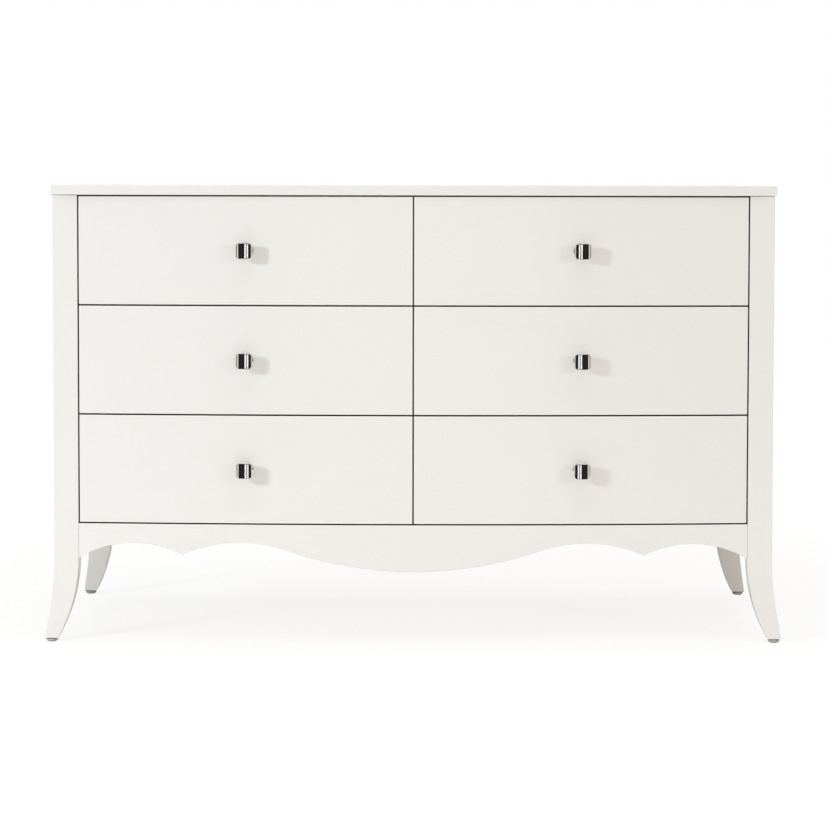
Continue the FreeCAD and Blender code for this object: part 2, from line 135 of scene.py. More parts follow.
def sprayFinishGroup():
    # sprayed lacquer: slow tone drift, fine orange peel, a few dust nibs, patchy sheen,
    # and a painted warm shade: the colour is darkened where two parts stand closer than the joint reach,
    # standing in for the shadow in gaps and joints
    tree, given, result = newGroup(
        "sprayFinish",
        [("Light Tone", "NodeSocketColor", None), ("Dark Tone", "NodeSocketColor", None),
         ("Painted Joint Shade", "NodeSocketColor", (0.045, 0.033, 0.024, 1)),
         ("Joint Reach", "NodeSocketFloat", 0.014),
         ("Peel Scale", "NodeSocketFloat", 260.0), ("Sheen Low", "NodeSocketFloat", 0.2),
         ("Sheen High", "NodeSocketFloat", 0.3)],
        [("Color", "NodeSocketColor"), ("Roughness", "NodeSocketFloat"), ("Height", "NodeSocketFloat")])
    place = addNode(tree, "ShaderNodeTexCoord").outputs["Object"]
    drift = noiseOut(tree, place, 1.3, 0.0, 0.5)
    cloud = noiseOut(tree, place, 5.0, 0.0, 0.5)
    tone = doMath(tree, "ADD", mapRange(tree, drift, 0.0, 1.0, 0.0, 0.85),
                  mapRange(tree, cloud, 0.0, 1.0, 0.0, 0.15))
    color = mixColor(tree, tone, given.outputs["Light Tone"], given.outputs["Dark Tone"])
    # painted shade: occlusion within the joint reach darkens the colour towards the painted joint shade
    gapOcclusion = addNode(tree, "ShaderNodeAmbientOcclusion", samples=8)
    tree.links.new(given.outputs["Joint Reach"], gapOcclusion.inputs["Distance"])
    clear = mapRange(tree, gapOcclusion.outputs["AO"], 0.30, 0.62, 0.0, 1.0)
    tree.links.new(mixColor(tree, clear, given.outputs["Painted Joint Shade"], color), result.inputs["Color"])
    peel = addNode(tree, "ShaderNodeTexNoise")
    setInputs(peel, Detail=1.5, Roughness=0.45)
    tree.links.new(place, peel.inputs["Vector"])
    tree.links.new(given.outputs["Peel Scale"], peel.inputs["Scale"])
    nib = addNode(tree, "ShaderNodeTexVoronoi", feature="F1")
    setInputs(nib, Scale=9.0, Randomness=1.0)
    tree.links.new(place, nib.inputs["Vector"])
    bump = mapRange(tree, nib.outputs["Distance"], 0.0, 0.006, 0.35, 0.0)
    tree.links.new(doMath(tree, "ADD", peel.outputs["Fac"], bump), result.inputs["Height"])
    sheen = addNode(tree, "ShaderNodeMapRange")
    tree.links.new(cloud, sheen.inputs["Value"])
    tree.links.new(given.outputs["Sheen Low"], sheen.inputs["To Min"])
    tree.links.new(given.outputs["Sheen High"], sheen.inputs["To Max"])
    tree.links.new(sheen.outputs["Result"], result.inputs["Roughness"])
    return tree


def timberGrainGroup():
    # straight-grained timber: growth bands, fibres and pores, all drawn out along the grain
    tree, given, result = newGroup(
        "timberGrain",
        [("Vector", "NodeSocketVector", None), ("Early Wood", "NodeSocketColor", None),
         ("Late Wood", "NodeSocketColor", None), ("Band Scale", "NodeSocketFloat", 22.0),
         ("Fibre Scale", "NodeSocketFloat", 300.0)],
        [("Color", "NodeSocketColor"), ("Roughness", "NodeSocketFloat"), ("Height", "NodeSocketFloat")])
    place = given.outputs["Vector"]
    wave = addNode(tree, "ShaderNodeTexWave", wave_type="BANDS", bands_direction="DIAGONAL")
    setInputs(wave, Distortion=5.0, Detail=3.0)
    wave.inputs["Detail Scale"].default_value = 0.8
    tree.links.new(place, wave.inputs["Vector"])
    tree.links.new(given.outputs["Band Scale"], wave.inputs["Scale"])
    fibre = addNode(tree, "ShaderNodeTexNoise")
    setInputs(fibre, Detail=4.0, Roughness=0.65)
    tree.links.new(place, fibre.inputs["Vector"])
    tree.links.new(given.outputs["Fibre Scale"], fibre.inputs["Scale"])
    broad = noiseOut(tree, place, 7.0, 3.0, 0.5)
    bands = mapRange(tree, wave.outputs["Fac"], 0.1, 0.95, 0.0, 0.55)
    streaks = mapRange(tree, fibre.outputs["Fac"], 0.35, 0.7, 0.0, 0.3)
    patches = mapRange(tree, broad, 0.3, 0.7, -0.08, 0.16)
    share = doMath(tree, "ADD", doMath(tree, "ADD", bands, streaks), patches)
    color = mixColor(tree, share, given.outputs["Early Wood"], given.outputs["Late Wood"])
    tree.links.new(color, result.inputs["Color"])
    tree.links.new(mapRange(tree, fibre.outputs["Fac"], 0.3, 0.7, 0.42, 0.62), result.inputs["Roughness"])
    tree.links.new(fibre.outputs["Fac"], result.inputs["Height"])
    return tree


def metalSkinGroup():
    # drawn or plated metal: streaks along one direction, handling marks, cloudy plating
    tree, given, result = newGroup(
        "metalSkin",
        [("Vector", "NodeSocketVector", None), ("Bright", "NodeSocketColor", None),
         ("Dull", "NodeSocketColor", None), ("Low", "NodeSocketFloat", 0.2),
         ("High", "NodeSocketFloat", 0.4)],
        [("Color", "NodeSocketColor"), ("Roughness", "NodeSocketFloat"), ("Height", "NodeSocketFloat")])
    place = given.outputs["Vector"]
    streak = noiseOut(tree, place, 420.0, 3.0, 0.6)
    cloud = noiseOut(tree, place, 24.0, 3.0, 0.55)
    tree.links.new(mixColor(tree, mapRange(tree, cloud, 0.3, 0.7, 0.0, 1.0), given.outputs["Bright"],
                            given.outputs["Dull"]), result.inputs["Color"])
    sheen = setInputs(addNode(tree, "ShaderNodeMapRange"), **{"From Min": 0.6, "From Max": 1.4})
    tree.links.new(doMath(tree, "ADD", streak, cloud), sheen.inputs["Value"])
    tree.links.new(given.outputs["Low"], sheen.inputs["To Min"])
    tree.links.new(given.outputs["High"], sheen.inputs["To Max"])
    tree.links.new(sheen.outputs["Result"], result.inputs["Roughness"])
    tree.links.new(streak, result.inputs["Height"])
    return tree


sprayFinish = sprayFinishGroup()
timberGrain = timberGrainGroup()
metalSkin = metalSkinGroup()


def newMaterial(name, group, groupValues, bumpStrength, bumpDistance, stretch=None, **shader):
    # one Principled shader fed by one group; stretch draws the pattern out along an axis
    material = bpy.data.materials.new(name)
    material.use_nodes = True
    tree = material.node_tree
    principled = tree.nodes["Principled BSDF"]
    skin = addNode(tree, "ShaderNodeGroup", node_tree=group)
    setInputs(skin, **groupValues)
    if stretch:
        place = addNode(tree, "ShaderNodeTexCoord")
        mapping = addNode(tree, "ShaderNodeMapping")
        mapping.inputs["Scale"].default_value = stretch
        tree.links.new(place.outputs["Object"], mapping.inputs["Vector"])
        tree.links.new(mapping.outputs["Vector"], skin.inputs["Vector"])
    bump = addNode(tree, "ShaderNodeBump")
    setInputs(bump, Strength=bumpStrength, Distance=bumpDistance)
    tree.links.new(skin.outputs["Height"], bump.inputs["Height"])
    tree.links.new(bump.outputs["Normal"], principled.inputs["Normal"])
    tree.links.new(skin.outputs["Color"], principled.inputs["Base Color"])
    tree.links.new(skin.outputs["Roughness"], principled.inputs["Roughness"])
    for key, value in shader.items():
        principled.inputs[key].default_value = value
    return material


lacquerSet = {
    "lightTone": (0.858, 0.848, 0.822, 1),
    "darkTone": (0.836, 0.825, 0.797, 1),
    "edgeHighlightTone": (0.955, 0.952, 0.94, 1),       # painted highlight: a paler colour on the rolled edges, standing in for the light they catch
    "partitionPaintedShade": (0.42, 0.38, 0.33, 1),       # a lighter painted shade in the partition's joint, so its edge shows paler in the gap
    "peelScale": 240.0,
    "sheenLow": 0.24,
    "sheenHigh": 0.28,
    "bump": 0.05,
    "bumpDepth": 0.0006,
    "coat": {"Coat Weight": 0.18, "Coat Roughness": 0.12, "Specular IOR Level": 0.28},
}


def lacquer(name, lightTone, darkTone):
    return newMaterial(
        name, sprayFinish,
        {"Light Tone": lightTone, "Dark Tone": darkTone, "Peel Scale": lacquerSet["peelScale"],
         "Sheen Low": lacquerSet["sheenLow"], "Sheen High": lacquerSet["sheenHigh"]},
        lacquerSet["bump"], lacquerSet["bumpDepth"], **lacquerSet["coat"])


whiteLacquer = lacquer("whiteLacquer", lacquerSet["lightTone"], lacquerSet["darkTone"])
edgeHighlightLacquer = lacquer("edgeHighlightLacquer", lacquerSet["edgeHighlightTone"], lacquerSet["lightTone"])
partitionShadeLacquer = lacquer("partitionShadeLacquer", lacquerSet["lightTone"], lacquerSet["darkTone"])
# the partition's lacquer copy differs only in its lighter painted joint shade
partitionShadeLacquer.node_tree.nodes["Group"].inputs["Painted Joint Shade"].default_value = lacquerSet["partitionPaintedShade"]
backPaint = newMaterial(
    "backPaint", sprayFinish,
    {"Light Tone": (0.80, 0.78, 0.73, 1), "Dark Tone": (0.72, 0.695, 0.64, 1),
     "Peel Scale": 620.0, "Sheen Low": 0.55, "Sheen High": 0.7}, 0.25, 0.0008)


woodSet = {
    "birch": ((0.66, 0.50, 0.32, 1), (0.50, 0.345, 0.19, 1)),        # early wood, late wood
    "birchPly": ((0.70, 0.55, 0.37, 1), (0.50, 0.345, 0.19, 1)),
    "pine": ((0.64, 0.45, 0.26, 1), (0.44, 0.27, 0.13, 1)),
    "caseBoard": ((0.56, 0.44, 0.30, 1), (0.42, 0.315, 0.20, 1)),
    "alongDepth": (1.0, 0.07, 1.0),                                  # way the grain is drawn out
    "alongWidth": (0.07, 1.0, 1.0),
    "fibreScale": 260.0,
    "bumpDepth": 0.0007,
}


def timber(name, wood, grain, roughBump=0.12, bandScale=22.0, **shader):
    early, late = woodSet[wood]
    return newMaterial(
        name, timberGrain,
        {"Early Wood": early, "Late Wood": late, "Band Scale": bandScale,
         "Fibre Scale": woodSet["fibreScale"]},
        roughBump, woodSet["bumpDepth"], woodSet[grain], **shader)


drawerSideWood = timber("drawerSideWood", "birch", "alongDepth", **{"Coat Weight": 0.2})
drawerBackWood = timber("drawerBackWood", "birch", "alongWidth", **{"Coat Weight": 0.2})
drawerBoardWood = timber("drawerBoardWood", "birchPly", "alongWidth", bandScale=12.0)
caseWood = timber("caseWood", "caseBoard", "alongWidth", bandScale=16.0)
packingWood = timber("packingWood", "pine", "alongDepth", 0.25)


metalSet = {
    "bumpDepth": 0.0003,
    "even": (1.0, 1.0, 1.0),
    "drawn": (1.0, 0.05, 1.0),   # streaks run front to back
}


def metal(name, bright, dull, roughness, strength, streaks):
    return newMaterial(
        name, metalSkin, {"Bright": bright, "Dull": dull, "Low": roughness[0], "High": roughness[1]},
        strength, metalSet["bumpDepth"], metalSet[streaks], Metallic=1.0)


polishedChrome = metal("polishedChrome", (0.86, 0.855, 0.845, 1), (0.80, 0.795, 0.785, 1),
                       (0.02, 0.06), 0.015, "even")
zincPlate = metal("zincPlate", (0.68, 0.69, 0.70, 1), (0.52, 0.54, 0.56, 1), (0.24, 0.42), 0.10, "drawn")
bearingSteel = metal("bearingSteel", (0.72, 0.71, 0.68, 1), (0.60, 0.585, 0.55, 1),
                     (0.16, 0.30), 0.08, "drawn")
# the glide plastic carries a painted shade where it stands close to the leg and the floor
glidePlastic = newMaterial(
    "glidePlastic", sprayFinish,
    {"Light Tone": (0.60, 0.55, 0.49, 1), "Dark Tone": (0.44, 0.39, 0.33, 1), "Peel Scale": 900.0,
     "Painted Joint Shade": (0.12, 0.10, 0.08, 1), "Joint Reach": 0.004,
     "Sheen Low": 0.35, "Sheen High": 0.5}, 0.3, 0.0005)
print("materials ready")


def addPiece(name, mesh, material, body, nodes):
    piece = bpy.data.objects.new(name, mesh)
    scene.collection.objects.link(piece)
    if material:
        mesh.materials.clear()
        mesh.materials.append(material)
    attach(piece, body)
    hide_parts(*nodes)
    return piece


def recoat(nodeName, material):
    # a node that stays as it is, with a better material
    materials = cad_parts[nodeName].data.materials
    materials.clear()
    materials.append(material)


def meshFrom(name, points, faces):
    mesh = bpy.data.meshes.new(name)
    mesh.from_pydata([tuple(p) for p in points], [], faces)
    cleanMesh(mesh)
    return mesh


def cleanMesh(mesh):
    # doubles merged, faces outwards, smooth shading
    work = bmesh.new()
    work.from_mesh(mesh)
    bmesh.ops.remove_doubles(work, verts=work.verts, dist=1e-6)
    bmesh.ops.recalc_face_normals(work, faces=work.faces)
    work.to_mesh(mesh)
    work.free()
    mesh.shade_smooth()


def joinMeshes(name, meshes):
    work = bmesh.new()
    for mesh in meshes:
        work.from_mesh(mesh)
    joined = bpy.data.meshes.new(name)
    work.to_mesh(joined)
    work.free()
    for mesh in meshes:
        bpy.data.meshes.remove(mesh)
    joined.shade_smooth()
    return joined


def roundEdges(piece, width, segments=3, angle=30.0, edgeMaterial=None):
    bevel = piece.modifiers.new("roundedEdges", "BEVEL")
    if edgeMaterial:
        piece.data.materials.append(edgeMaterial)
        bevel.material = len(piece.data.materials) - 1
    bevel.width = width
    bevel.segments = segments
    bevel.limit_method = "ANGLE"
    bevel.angle_limit = math.radians(angle)
    bevel.harden_normals = True
    bevel.miter_outer = "MITER_ARC"
    return piece


def rings(name, loops, closeStart=True, closeEnd=True):
    # a skin over closed loops of equal length
    count = len(loops[0])
    points = [p for loop in loops for p in loop]
    faces = []
    for k in range(len(loops) - 1):
        for i in range(count):
            j = (i + 1) % count
            faces.append((k * count + i, k * count + j, (k + 1) * count + j, (k + 1) * count + i))
    if closeStart:
        faces.append(tuple(range(count - 1, -1, -1)))
    if closeEnd:
        faces.append(tuple((len(loops) - 1) * count + i for i in range(count)))
    return meshFrom(name, points, faces)


def boxMesh(name, low, high):
    loops = [[(low[0], low[1], z), (high[0], low[1], z), (high[0], high[1], z), (low[0], high[1], z)]
             for z in (low[2], high[2])]
    return rings(name, loops)


def columnsMesh(name, columns):
    # each column is (x, four (y, z) corners in order), skinned along x
    return rings(name, [[(x, y, z) for y, z in corners] for x, corners in columns])


def spread(low, high, count):
    return [low + (high - low) * i / count for i in range(count + 1)]


def looseParts(nodeName):
    # the (low, high) box of each separate solid in a CAD node
    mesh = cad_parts[nodeName].data
    places = np.array([v.co for v in mesh.vertices]).round(6)
    _, ids = np.unique(places, axis=0, return_inverse=True)
    ids = ids.reshape(-1)
    parent = list(range(ids.max() + 1))

    def root(i):
        while parent[i] != i:
            parent[i] = parent[parent[i]]
            i = parent[i]
        return i

    for face in mesh.polygons:
        corner = [root(ids[v]) for v in face.vertices]
        for other in corner[1:]:
            parent[root(other)] = root(corner[0])
    groups = {}
    for index, place in zip(ids, places):
        groups.setdefault(root(index), []).append(place)
    parts = [(Vector(np.min(g, 0)), Vector(np.max(g, 0))) for g in groups.values()]
    return sorted(parts, key=lambda p: tuple(round(c, 4) for c in (*p[0], *p[1])))


def newGeometryTree(name, inputs):
    tree = bpy.data.node_groups.new(name, "GeometryNodeTree")
    tree.interface.new_socket("Geometry", in_out="INPUT", socket_type="NodeSocketGeometry")
    for label, kind, value in inputs:
        socket = tree.interface.new_socket(label, in_out="INPUT", socket_type=kind)
        if value is not None:
            socket.default_value = value
    tree.interface.new_socket("Geometry", in_out="OUTPUT", socket_type="NodeSocketGeometry")
    return tree, tree.nodes.new("NodeGroupInput"), tree.nodes.new("NodeGroupOutput")


def endTree(tree, geometry, given, result):
    realize = tree.nodes.new("GeometryNodeRealizeInstances")
    coat = tree.nodes.new("GeometryNodeSetMaterial")
    tree.links.new(geometry, realize.inputs[0])
    tree.links.new(realize.outputs[0], coat.inputs["Geometry"])
    tree.links.new(given.outputs["Material"], coat.inputs["Material"])
    tree.links.new(coat.outputs[0], result.inputs[0])


def runTree(name, sourceMesh, tree, values):
    # applies a tree to a mesh and gives back a plain mesh
    carrier = bpy.data.objects.new(name + "Source", sourceMesh)
    scene.collection.objects.link(carrier)
    modifier = carrier.modifiers.new(tree.name, "NODES")
    modifier.node_group = tree
    sockets = {item.name: item.identifier for item in tree.interface.items_tree
               if item.in_out == "INPUT"}
    for label, value in values.items():
        modifier[sockets[label]] = value
    graph = bpy.context.evaluated_depsgraph_get()
    plain = bpy.data.meshes.new_from_object(carrier.evaluated_get(graph))
    plain.name = name
    carrier.modifiers.clear()
    bpy.data.objects.remove(carrier)
    return plain


def bowTreeMake():
    # bends a straight board, drawn with its front at y = 0, on to the bowed front
    tree, given, result = newGeometryTree(
        "bendToBow", [("Bow Radius", "NodeSocketFloat", 10.0), ("Bow Centre", "NodeSocketFloat", 10.0),
                      ("Material", "NodeSocketMaterial", None)])
    links = tree.links
    place = tree.nodes.new("GeometryNodeInputPosition")
    split = tree.nodes.new("ShaderNodeSeparateXYZ")
    links.new(place.outputs[0], split.inputs[0])
    reach = doMath(tree, "SUBTRACT", given.outputs["Bow Radius"], split.outputs["Y"])
    across = doMath(tree, "MULTIPLY", split.outputs["X"], split.outputs["X"])
    drop = doMath(tree, "SQRT", doMath(tree, "SUBTRACT", doMath(tree, "MULTIPLY", reach, reach), across))
    join = tree.nodes.new("ShaderNodeCombineXYZ")
    links.new(split.outputs["X"], join.inputs["X"])
    links.new(doMath(tree, "SUBTRACT", given.outputs["Bow Centre"], drop), join.inputs["Y"])
    links.new(split.outputs["Z"], join.inputs["Z"])
    move = tree.nodes.new("GeometryNodeSetPosition")
    links.new(given.outputs["Geometry"], move.inputs["Geometry"])
    links.new(join.outputs[0], move.inputs["Position"])
    endTree(tree, move.outputs[0], given, result)
    return tree


def lifted(tree, geometry, height):
    move = tree.nodes.new("GeometryNodeTransform")
    join = tree.nodes.new("ShaderNodeCombineXYZ")
    tree.links.new(height, join.inputs["Z"])
    tree.links.new(geometry, move.inputs["Geometry"])
    tree.links.new(join.outputs[0], move.inputs["Translation"])
    return move.outputs[0]


def screwTreeMake():
    # a tapered screw head with a cross recess and a plain shank at every point, turned to "aim"
    tree, given, result = newGeometryTree(
        "crossHeadScrews", [("Head Radius", "NodeSocketFloat", 0.0034),
                            ("Head Height", "NodeSocketFloat", 0.0016),
                            ("Shank Radius", "NodeSocketFloat", 0.00175),
                            ("Shank Length", "NodeSocketFloat", 0.01),
                            ("Material", "NodeSocketMaterial", None)])
    nodes, links = tree.nodes, tree.links
    head = nodes.new("GeometryNodeMeshCone")
    head.inputs["Vertices"].default_value = 28
    links.new(doMath(tree, "MULTIPLY", given.outputs["Head Radius"], 0.72), head.inputs["Radius Top"])
    links.new(given.outputs["Head Radius"], head.inputs["Radius Bottom"])
    links.new(given.outputs["Head Height"], head.inputs["Depth"])
    shank = nodes.new("GeometryNodeMeshCylinder")
    shank.inputs["Vertices"].default_value = 16
    links.new(given.outputs["Shank Radius"], shank.inputs["Radius"])
    links.new(given.outputs["Shank Length"], shank.inputs["Depth"])
    cut = addNode(tree, "GeometryNodeMeshBoolean", operation="DIFFERENCE", solver="EXACT")
    links.new(head.outputs["Mesh"], cut.inputs["Mesh 1"])
    recess = doMath(tree, "MULTIPLY", given.outputs["Head Height"], 0.95)
    for longSide, shortSide in ((1.15, 0.24), (0.24, 1.15)):
        arm = nodes.new("GeometryNodeMeshCube")
        size = nodes.new("ShaderNodeCombineXYZ")
        links.new(doMath(tree, "MULTIPLY", given.outputs["Head Radius"], longSide), size.inputs["X"])
        links.new(doMath(tree, "MULTIPLY", given.outputs["Head Radius"], shortSide), size.inputs["Y"])
        links.new(given.outputs["Head Height"], size.inputs["Z"])
        links.new(size.outputs[0], arm.inputs["Size"])
        links.new(lifted(tree, arm.outputs["Mesh"], recess), cut.inputs["Mesh 2"])
    whole = nodes.new("GeometryNodeJoinGeometry")
    links.new(cut.outputs["Mesh"], whole.inputs[0])
    below = doMath(tree, "MULTIPLY", given.outputs["Shank Length"], -0.5)
    links.new(lifted(tree, shank.outputs["Mesh"], below), whole.inputs[0])
    aim = nodes.new("GeometryNodeInputNamedAttribute")
    aim.data_type = "FLOAT_VECTOR"
    aim.inputs["Name"].default_value = "aim"
    turn = nodes.new("FunctionNodeAlignRotationToVector")
    turn.axis = "Z"
    links.new(aim.outputs["Attribute"], turn.inputs["Vector"])
    copies = nodes.new("GeometryNodeInstanceOnPoints")
    links.new(given.outputs["Geometry"], copies.inputs["Points"])
    links.new(whole.outputs[0], copies.inputs["Instance"])
    links.new(turn.outputs["Rotation"], copies.inputs["Rotation"])
    endTree(tree, copies.outputs[0], given, result)
    return tree


def pointMesh(name, points, aims=None):
    mesh = bpy.data.meshes.new(name)
    mesh.from_pydata([tuple(p) for p in points], [], [])
    if aims:
        data = mesh.attributes.new("aim", "FLOAT_VECTOR", "POINT").data
        for item, aim in zip(data, aims):
            item.vector = aim
    return mesh


bendToBow = bowTreeMake()
crossHeadScrews = screwTreeMake()


def bent(name, flatMesh, material):
    mesh = runTree(name, flatMesh, bendToBow,
                   {"Bow Radius": bowRadius, "Bow Centre": bowCentreY, "Material": material})
    cleanMesh(mesh)
    return mesh


legSet = {
    "postWidth": 0.0495,
    "postDepth": 0.032,
    "flareHeight": 0.166,      # straight above this height
    "straightFoot": 0.045,     # the outer curve ends here and runs on straight
    "footWidth": 0.027,
    "footDepth": 0.025,
    "steps": 56,
    "edge": 0.0012,
}


def uprightArc(offset, drop, depth):
    # how far an arc has bent over, depth below the place where it leaves the upright
    radius = (drop ** 2 + offset ** 2) / (2 * abs(offset))
    bend = radius - math.sqrt(max(radius ** 2 - depth ** 2, 0.0))
    return math.copysign(bend, offset)


def legEdges(z, splay, width, footWidth, footZ):
    # (inner, outer) edge of a leg at height z, measured outwards from the post's outer face
    start, straight = legSet["flareHeight"], legSet["straightFoot"]
    if z >= start:
        return -width, 0.0
    inner = -width + uprightArc(width + splay - footWidth, start - footZ, start - z)
    curveRun, straightRun = start - straight, straight - footZ
    curveEnd = splay * curveRun / (curveRun + 2 * straightRun)
    if z >= straight:
        return inner, uprightArc(curveEnd, curveRun, start - z)
    return inner, curveEnd + (splay - curveEnd) * (straight - z) / straightRun


def makeLeg(nodeName, side, front):
    low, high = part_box(nodeName)
    inX = low.x if side > 0 else high.x
    outX = inX + side * legSet["postWidth"]
    splayX = (high.x - outX) if side > 0 else (outX - low.x)
    faceY = (high.y - legSet["postDepth"]) if front < 0 else (low.y + legSet["postDepth"])
    splayY = (faceY - low.y) if front < 0 else (high.y - faceY)
    heights = [high.z, 0.5 * (high.z + legSet["flareHeight"])]
    heights += spread(legSet["flareHeight"], low.z, legSet["steps"])
    loops = []
    for z in heights:
        xIn, xOut = legEdges(z, splayX, legSet["postWidth"], legSet["footWidth"], low.z)
        yIn, yOut = legEdges(z, splayY, legSet["postDepth"], legSet["footDepth"], low.z)
        x0, x1 = outX + side * xIn, outX + side * xOut
        y0, y1 = faceY + front * yOut, faceY + front * yIn
        loops.append([(x0, y0, z), (x1, y0, z), (x1, y1, z), (x0, y1, z)])
    piece = addPiece(nodeName.replace("leg", "sabre_leg"), rings(nodeName + "Mesh", loops),
                     whiteLacquer, "case", [nodeName])
    return roundEdges(piece, legSet["edge"])


for nodeName, side, front in (("front_leg_right", 1, -1), ("front_leg_left", -1, -1),
                              ("rear_leg_right", 1, 1), ("rear_leg_left", -1, 1)):
    makeLeg(nodeName, side, front)
print("legs ready")


glideSet = {
    # (share of the radius, share of the height), from the floor up
    "profile": [(0.0, 0.0), (0.45, 0.0), (0.45, 0.01), (0.68, 0.07), (0.88, 0.26), (0.98, 0.5),
                (1.0, 0.66), (0.97, 0.8), (0.86, 0.86), (0.80, 1.0), (0.0, 1.0)],
    "sides": 40,
}


def glideTreeMake():
    # a turned glide at every point, one open cone band for each step of the profile
    tree, given, result = newGeometryTree(
        "turnedGlides", [("Radius", "NodeSocketFloat", 0.012), ("Height", "NodeSocketFloat", 0.008),
                         ("Material", "NodeSocketMaterial", None)])
    links, profile = tree.links, glideSet["profile"]
    bands = tree.nodes.new("GeometryNodeJoinGeometry")
    for (lowShare, lowLevel), (highShare, highLevel) in zip(profile, profile[1:]):
        band = addNode(tree, "GeometryNodeMeshCone", fill_type="NONE")
        band.inputs["Vertices"].default_value = glideSet["sides"]
        for socket, size, share in (("Radius Bottom", "Radius", lowShare),
                                    ("Radius Top", "Radius", highShare),
                                    ("Depth", "Height", highLevel - lowLevel)):
            links.new(doMath(tree, "MULTIPLY", given.outputs[size], share), band.inputs[socket])
        height = doMath(tree, "MULTIPLY", given.outputs["Height"], lowLevel)
        links.new(lifted(tree, band.outputs["Mesh"], height), bands.inputs[0])
    copies = tree.nodes.new("GeometryNodeInstanceOnPoints")
    links.new(given.outputs["Geometry"], copies.inputs["Points"])
    links.new(bands.outputs[0], copies.inputs["Instance"])
    endTree(tree, copies.outputs[0], given, result)
    return tree


def makeGlides():
    parts = looseParts("foot_glides")
    size = parts[0][1] - parts[0][0]
    feet = [((low.x + high.x) / 2, (low.y + high.y) / 2, low.z) for low, high in parts]
    mesh = runTree("glideMesh", pointMesh("glidePoints", feet), glideTreeMake(),
                   {"Radius": size.x / 2, "Height": size.z, "Material": glidePlastic})
    cleanMesh(mesh)
    addPiece("nail_on_glides", mesh, glidePlastic, "case", ["foot_glides"])


makeGlides()
print("glides ready")


topSet = {"columns": 120, "edge": 0.0012}


def makeTop():
    half, arcDepth = topHigh.x, caseSet["bow"]
    radius = (half ** 2 + arcDepth ** 2) / (2 * arcDepth)
    columns = []
    for x in spread(-half, half, topSet["columns"]):
        y = topLow.y + radius - math.sqrt(radius ** 2 - x * x)
        columns.append((x, [(y, topLow.z), (topHigh.y, topLow.z),
                            (topHigh.y, topHigh.z), (y, topHigh.z)]))
    piece = addPiece("bowed_top", columnsMesh("topMesh", columns), whiteLacquer, "case",
                     ["top_panel"])
    roundEdges(piece, topSet["edge"], 4)


makeTop()


apronSet = {
    "endDepth": 0.0708,         # depths below the apron's top edge
    "outerCrestDepth": 0.0388,
    "cuspDepth": 0.0618,
    "innerCrestDepth": 0.0365,
    "middleDepth": 0.0938,
    "cuspInset": 0.209,         # cusp to post
    "crestToCusp": 0.115,
    "middleShare": 0.73,        # share of the middle wave that the large middle arc takes
    "edge": 0.0010,
    "waveSteps": 84,            # middle to cusp
    "endSteps": 44,             # cusp to post
}


def circleThrough(a, b, c):
    # centre (x, z) and radius of the circle through three points
    d = 2 * (a[0] * (b[1] - c[1]) + b[0] * (c[1] - a[1]) + c[0] * (a[1] - b[1]))
    squares = [p[0] ** 2 + p[1] ** 2 for p in (a, b, c)]
    x = (squares[0] * (b[1] - c[1]) + squares[1] * (c[1] - a[1]) + squares[2] * (a[1] - b[1])) / d
    z = (squares[0] * (c[0] - b[0]) + squares[1] * (a[0] - c[0]) + squares[2] * (b[0] - a[0])) / d
    return x, z, math.hypot(a[0] - x, a[1] - z)


def apronDepth(x):
    # depth of the scalloped edge below the apron's top edge, x from 0 to the post
    s = apronSet
    cusp = openingHalf - s["cuspInset"]
    crest = cusp - s["crestToCusp"]
    wave = s["middleDepth"] - s["innerCrestDepth"]
    bothRadii = (crest ** 2 + wave ** 2) / (2 * wave)
    middleRadius = s["middleShare"] * bothRadii
    crestRadius = bothRadii - middleRadius
    if x <= s["middleShare"] * crest:
        return s["middleDepth"] - (middleRadius - math.sqrt(middleRadius ** 2 - x * x))
    if x <= crest:
        return s["innerCrestDepth"] + crestRadius - math.sqrt(crestRadius ** 2 - (crest - x) ** 2)
    if x <= cusp:
        drop = s["cuspDepth"] - s["innerCrestDepth"]
        radius = (s["crestToCusp"] ** 2 + drop ** 2) / (2 * drop)
        return s["innerCrestDepth"] + radius - math.sqrt(radius ** 2 - (x - crest) ** 2)
    middle = (openingHalf + cusp) / 2
    cx, cz, radius = circleThrough((openingHalf, s["endDepth"]), (middle, s["outerCrestDepth"]),
                                   (cusp, s["cuspDepth"]))
    return cz - math.sqrt(max(radius ** 2 - (x - cx) ** 2, 0.0))


def makeApron():
    cusp = openingHalf - apronSet["cuspInset"]
    half = spread(0.0, cusp, apronSet["waveSteps"]) + spread(cusp, openingHalf, apronSet["endSteps"])[1:]
    thickness, high = caseSet["apronThickness"], apronHigh.z
    columns = []
    for x in [-x for x in reversed(half[1:])] + half:
        low = high - apronDepth(abs(x))
        columns.append((x, [(0.0, low), (thickness, low), (thickness, high), (0.0, high)]))
    mesh = bent("apronMesh", columnsMesh("apronFlat", columns), whiteLacquer)
    piece = addPiece("scalloped_apron", mesh, None, "case", ["front_apron"])
    roundEdges(piece, apronSet["edge"], 2, 40.0)


makeApron()
print("top and apron ready")


boardSet = {
    "panelEdge": 0.0012,
    "backEdge": 0.0005,
    "railEdge": 0.0008,
}


def boardPiece(pieceName, nodeName, material, edge):
    # one eased board for each solid of the node
    mesh = joinMeshes(nodeName + "Mesh", [boxMesh("board", low, high) for low, high in looseParts(nodeName)])
    piece = addPiece(pieceName, mesh, material, "case", [nodeName])
    roundEdges(piece, boardSet[edge], 2)


boardPiece("side_board_left", "side_panel_left", whiteLacquer, "panelEdge")
boardPiece("side_board_right", "side_panel_right", whiteLacquer, "panelEdge")
boardPiece("back_board", "back_panel", backPaint, "backEdge")
boardPiece("case_top_rails", "top_rails", caseWood, "railEdge")
boardPiece("rear_base_rail", "rear_bottom_rail", caseWood, "railEdge")
boardPiece("slide_packing", "slide_fillers", packingWood, "railEdge")


